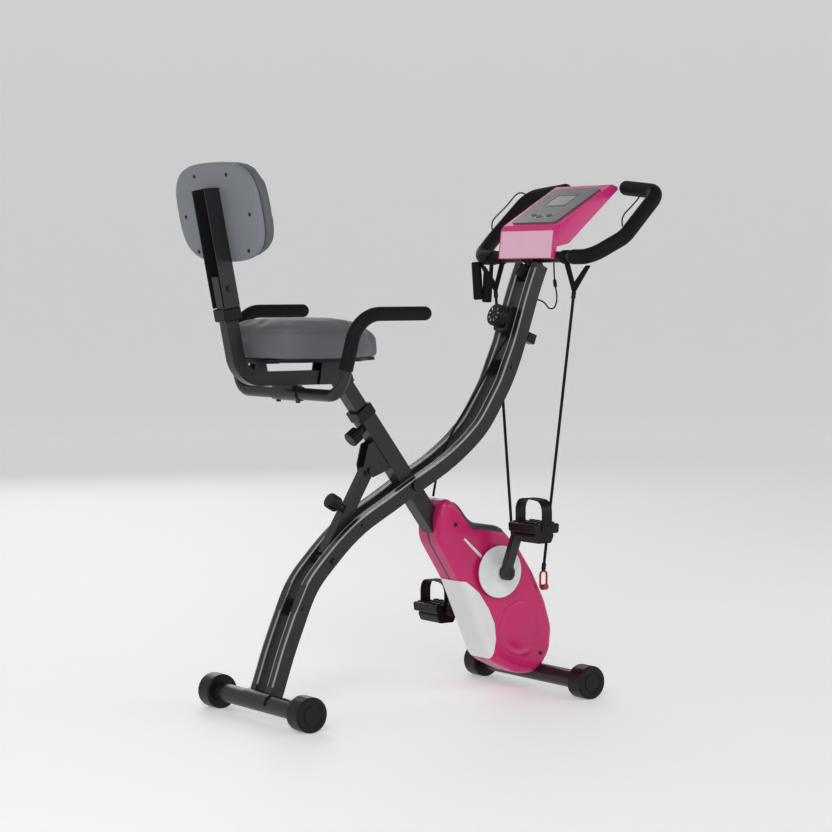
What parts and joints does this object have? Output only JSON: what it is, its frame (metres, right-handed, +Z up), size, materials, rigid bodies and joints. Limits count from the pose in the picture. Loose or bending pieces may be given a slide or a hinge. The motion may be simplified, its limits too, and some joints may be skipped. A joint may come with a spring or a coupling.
{
  "type": "folding exercise bike",
  "caption": "Folding X-frame exercise bike with padded seat and backrest, armrests, tilting handlebar with console, pink drive casing and hand-pull resistance bands.",
  "frame": {"origin": "on the floor under the middle of the whole bike", "axes": "+X forward, from the seat toward the handlebar; +Y the rider's left; +Z up, with the feet on Z = 0"},
  "size_m": [1.0613, 0.508, 1.1644],
  "materials": {
    "frame_steel": "satin",
    "black_plastic": "matte",
    "pink_shell": "gloss",
    "pink_console": "gloss",
    "pale_pink_plate": "gloss",
    "grey_plastic": "matte",
    "white_plastic": "semi-gloss",
    "bolt_steel": "dark zinc",
    "seat_vinyl": "fine grain vinyl",
    "back_vinyl": "fine grain vinyl",
    "black_foam": "matte foam",
    "black_webbing": "woven",
    "black_cord": "matte",
    "wheel_iron": "machined rim"
  },
  "bodies": {
    "main_frame": {"rear_foot_tube": "frame_steel", "rear_foot_caps": "black_plastic", "curved_tube_right": "frame_steel", "curved_tube_left": "frame_steel", "frame_brackets": "frame_steel", "frame_bolts": "bolt_steel", "handlebar_clamp": "frame_steel", "tension_box": "black_plastic", "tension_cable": "black_cord", "sensor_cable": "black_cord", "band_right": "black_cord", "band_left": "black_cord", "band_straps": "black_webbing"},
    "strut_outer": {"strut_outer_tube": "frame_steel"},
    "strut_pin": {"strut_knob": "black_plastic"},
    "strut_inner": {"strut_inner_tube": "frame_steel"},
    "drive_frame": {"seat_tube": "frame_steel", "seat_tube_collar": "black_plastic", "strut_gusset": "frame_steel", "front_foot_tube": "frame_steel", "front_foot_caps": "black_plastic", "drive_core": "frame_steel", "housing_right": "pink_shell", "housing_left": "pink_shell", "housing_trim": "grey_plastic", "housing_inserts": "white_plastic", "drive_fasteners": "bolt_steel", "band_hooks": "bolt_steel"},
    "seat_carriage": {"seat_post": "frame_steel", "seat_frame": "frame_steel", "seat_brackets": "frame_steel", "seat_base": "black_plastic", "seat_cushion": "seat_vinyl", "backrest_channel": "frame_steel", "backrest_collar": "black_plastic", "backrest_board": "back_vinyl", "backrest_cushion": "seat_vinyl", "backrest_bolts": "bolt_steel", "armrest_tube": "frame_steel", "armrest_grips": "black_foam"},
    "seat_pin": {"seat_knob": "black_plastic"},
    "crank": {"crank_axle": "bolt_steel", "crank_arm_right": "frame_steel", "crank_arm_left": "frame_steel", "crank_discs": "white_plastic"},
    "pedal_right": {"pedal_right": "black_plastic", "pedal_strap_right": "black_webbing"},
    "pedal_left": {"pedal_left": "black_plastic", "pedal_strap_left": "black_webbing"},
    "flywheel": {"flywheel": "wheel_iron"},
    "tension_dial": {"tension_knob": "black_plastic"},
    "clamp_screw": {"clamp_knob": "black_plastic"},
    "handlebar": {"handlebar_tube": "frame_steel", "handlebar_grips": "black_foam", "console_body": "pink_console", "console_plate": "pale_pink_plate", "console_panel": "black_plastic"},
    "key_left": {"button_left": "grey_plastic"},
    "key_middle": {"button_middle": "grey_plastic"},
    "key_right": {"button_right": "grey_plastic"}
  },
  "joints": [
    {"name": "fold_hinge", "type": "hinge", "parent": "main_frame", "child": "drive_frame", "pos_m": [-0.0128, 0, 0.477], "axis": [0, 1, 0], "range_deg": [0, 32], "deforming": ["band_right", "band_left", "tension_cable"]},
    {"name": "strut_swing", "type": "hinge", "parent": "main_frame", "child": "strut_outer", "pos_m": [-0.2268, 0, 0.326], "axis": [0, 1, 0], "range_deg": [-0.5, 1]},
    {"name": "strut_slide", "type": "slide", "parent": "strut_outer", "child": "strut_inner", "axis": [0.5076, 0, 0.8616], "range_m": [0, 0.063]},
    {"name": "strut_pin_pull", "type": "slide", "parent": "strut_outer", "child": "strut_pin", "axis": [-0.8616, 0, 0.5076], "range_m": [0, 0.008], "stiffness_N_per_m": 600, "springref_m": -0.006},
    {"name": "seat_height", "type": "slide", "parent": "drive_frame", "child": "seat_carriage", "axis": [-0.5971, 0, 0.8022], "range_m": [-0.04, 0.08]},
    {"name": "seat_pin_pull", "type": "slide", "parent": "drive_frame", "child": "seat_pin", "axis": [-0.8022, 0, -0.5971], "range_m": [0, 0.008], "stiffness_N_per_m": 600, "springref_m": -0.006},
    {"name": "crank_spin", "type": "hinge", "parent": "drive_frame", "child": "crank", "pos_m": [0.1992, 0, 0.276], "axis": [0, 1, 0], "continuous": true},
    {"name": "pedal_right_spin", "type": "hinge", "parent": "crank", "child": "pedal_right", "pos_m": [0.212, 0, 0.38022], "axis": [0, 1, 0], "continuous": true},
    {"name": "pedal_left_spin", "type": "hinge", "parent": "crank", "child": "pedal_left", "pos_m": [0.1864, 0, 0.17178], "axis": [0, 1, 0], "continuous": true},
    {"name": "flywheel_spin", "type": "hinge", "parent": "drive_frame", "child": "flywheel", "pos_m": [0.2642, 0, 0.142], "axis": [0, 1, 0], "continuous": true},
    {"name": "handlebar_tilt", "type": "hinge", "parent": "main_frame", "child": "handlebar", "pos_m": [0.3352, 0, 0.97], "axis": [0, 1, 0], "range_deg": [-12, 15], "deforming": ["sensor_cable"]},
    {"name": "clamp_screw_turn", "type": "hinge", "parent": "main_frame", "child": "clamp_screw", "pos_m": [0.3352, 0, 0.97], "axis": [-0.66, 0, -0.7513], "range_deg": [0, 180]},
    {"name": "tension_turn", "type": "hinge", "parent": "main_frame", "child": "tension_dial", "pos_m": [0.2817, 0, 0.823], "axis": [-0.9386, 0, 0.345], "range_deg": [0, 315]},
    {"name": "key_left_press", "type": "slide", "parent": "handlebar", "child": "key_left", "axis": [0.5178, 0, -0.8555], "range_m": [0, 0.0012], "stiffness_N_per_m": 500, "springref_m": -0.001},
    {"name": "key_middle_press", "type": "slide", "parent": "handlebar", "child": "key_middle", "axis": [0.5178, 0, -0.8555], "range_m": [0, 0.0012], "stiffness_N_per_m": 500, "springref_m": -0.001},
    {"name": "key_right_press", "type": "slide", "parent": "handlebar", "child": "key_right", "axis": [0.5178, 0, -0.8555], "range_m": [0, 0.0012], "stiffness_N_per_m": 500, "springref_m": -0.001}
  ],
  "couplings": [
    {"joint": "strut_swing", "follows": "fold_hinge", "ratio": 0.005},
    {"joint": "strut_slide", "follows": "fold_hinge", "m_per_rad": 0.1095},
    {"joint": "flywheel_spin", "follows": "crank_spin", "ratio": 2.8421}
  ]
}
